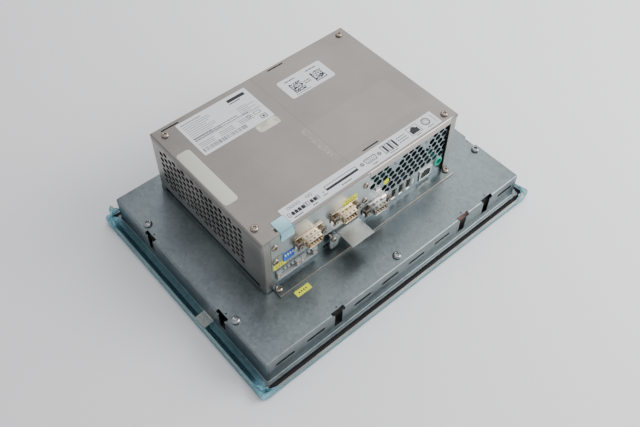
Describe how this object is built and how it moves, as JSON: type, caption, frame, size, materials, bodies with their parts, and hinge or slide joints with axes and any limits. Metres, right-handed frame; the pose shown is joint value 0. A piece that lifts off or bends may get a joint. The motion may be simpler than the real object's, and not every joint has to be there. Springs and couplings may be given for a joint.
{
  "type": "hmi touch panel",
  "caption": "Panel-mount touch computer with sheet-metal rear tray and computer box, rear socket panel, sealing gasket and clamp slots; lies on its front face.",
  "frame": {"origin": "Middle of the front face's protective film, which is the face that the object lies on", "axes": "+Z from the front face to the rear, +X along the bezel's long side, -Y towards the side with the sockets"},
  "size_m": [0.3314, 0.244, 0.1076],
  "materials": {
    "bezel_aluminium": "satin anodised",
    "zinc_sheet": "zinc plated, faintly spangled",
    "nickel_sheet": "plated, brushed",
    "bright_sheet": "plated, satin",
    "screw_steel": "nickel plated",
    "gold_shell": "gold flashed",
    "nickel_shell": "nickel plated",
    "dark_glass": "polished",
    "display_metal": "plain",
    "film_blue": "clear pale blue film",
    "gasket_rubber": "matt",
    "switch_blue": "moulded",
    "switch_white": "moulded",
    "header_grey": "moulded",
    "socket_black": "moulded",
    "socket_green": "moulded",
    "light_pipe": "clear",
    "board_green": "solder mask",
    "sink_aluminium": "extruded",
    "cell_steel": "plated",
    "wire_red": "sleeved",
    "wire_grey": "ribbon"
  },
  "bodies": {
    "case": {"protective_film": "film_blue", "front_bezel": "bezel_aluminium", "touch_glass": "dark_glass", "display_panel": "display_metal", "panel_gasket": "gasket_rubber", "mounting_tray": "zinc_sheet", "base_plate": "zinc_sheet", "top_cover": "nickel_sheet", "left_side_panel": "nickel_sheet", "right_side_panel": "nickel_sheet", "back_panel": "nickel_sheet", "io_panel": "bright_sheet", "option_plate": "bright_sheet", "supply_header": "header_grey", "signal_header": "header_grey", "serial_port_1": "gold_shell", "serial_port_2": "gold_shell", "serial_port_3": "nickel_shell", "dip_switch_body": "switch_blue", "usb_port_1": "nickel_shell", "usb_port_2": "nickel_shell", "usb_port_3": "nickel_shell", "ethernet_jack": "nickel_shell", "round_socket": "socket_green", "status_light_pipe": "light_pipe", "card_guard": "bright_sheet", "guard_screw_1": "screw_steel", "guard_screw_2": "screw_steel", "earth_lug": "nickel_shell", "mainboard": "board_green", "heat_sink": "sink_aluminium", "fan_frame": "socket_black", "option_board": "board_green", "power_board": "board_green", "power_lead": "wire_red", "display_lead": "wire_grey", "card_socket": "socket_black", "memory_card": "socket_black", "coin_cell": "cell_steel", "cover_screw_1": "screw_steel", "cover_screw_2": "screw_steel", "cover_screw_3": "screw_steel", "cover_screw_4": "screw_steel", "tray_screw_1": "screw_steel", "tray_screw_2": "screw_steel", "tray_screw_3": "screw_steel", "tray_screw_4": "screw_steel", "tray_screw_5": "screw_steel", "tray_screw_6": "screw_steel", "ledge_screw_1": "screw_steel", "ledge_screw_2": "screw_steel", "ledge_screw_3": "screw_steel"},
    "dip_lever_1": {"dip_lever_1": "switch_white"},
    "dip_lever_2": {"dip_lever_2": "switch_white"},
    "dip_lever_3": {"dip_lever_3": "switch_white"},
    "dip_lever_4": {"dip_lever_4": "switch_white"},
    "reset_button": {"reset_button": "socket_black"},
    "fan_rotor": {"fan_rotor": "socket_black"}
  },
  "joints": [
    {"name": "dip_lever_1_slide", "type": "slide", "parent": "case", "child": "dip_lever_1", "axis": [0, 0, -1], "range_m": [0, 0.0012]},
    {"name": "dip_lever_2_slide", "type": "slide", "parent": "case", "child": "dip_lever_2", "axis": [0, 0, -1], "range_m": [0, 0.0012]},
    {"name": "dip_lever_3_slide", "type": "slide", "parent": "case", "child": "dip_lever_3", "axis": [0, 0, -1], "range_m": [0, 0.0012]},
    {"name": "dip_lever_4_slide", "type": "slide", "parent": "case", "child": "dip_lever_4", "axis": [0, 0, -1], "range_m": [0, 0.0012]},
    {"name": "reset_press", "type": "slide", "parent": "case", "child": "reset_button", "axis": [0, 1, 0], "range_m": [0, 0.0006], "stiffness_N_per_m": 400},
    {"name": "fan_spin", "type": "hinge", "parent": "case", "child": "fan_rotor", "pos_m": [0.1005, 0.0244, 0.0716], "axis": [1, 0, 0], "continuous": true}
  ]
}
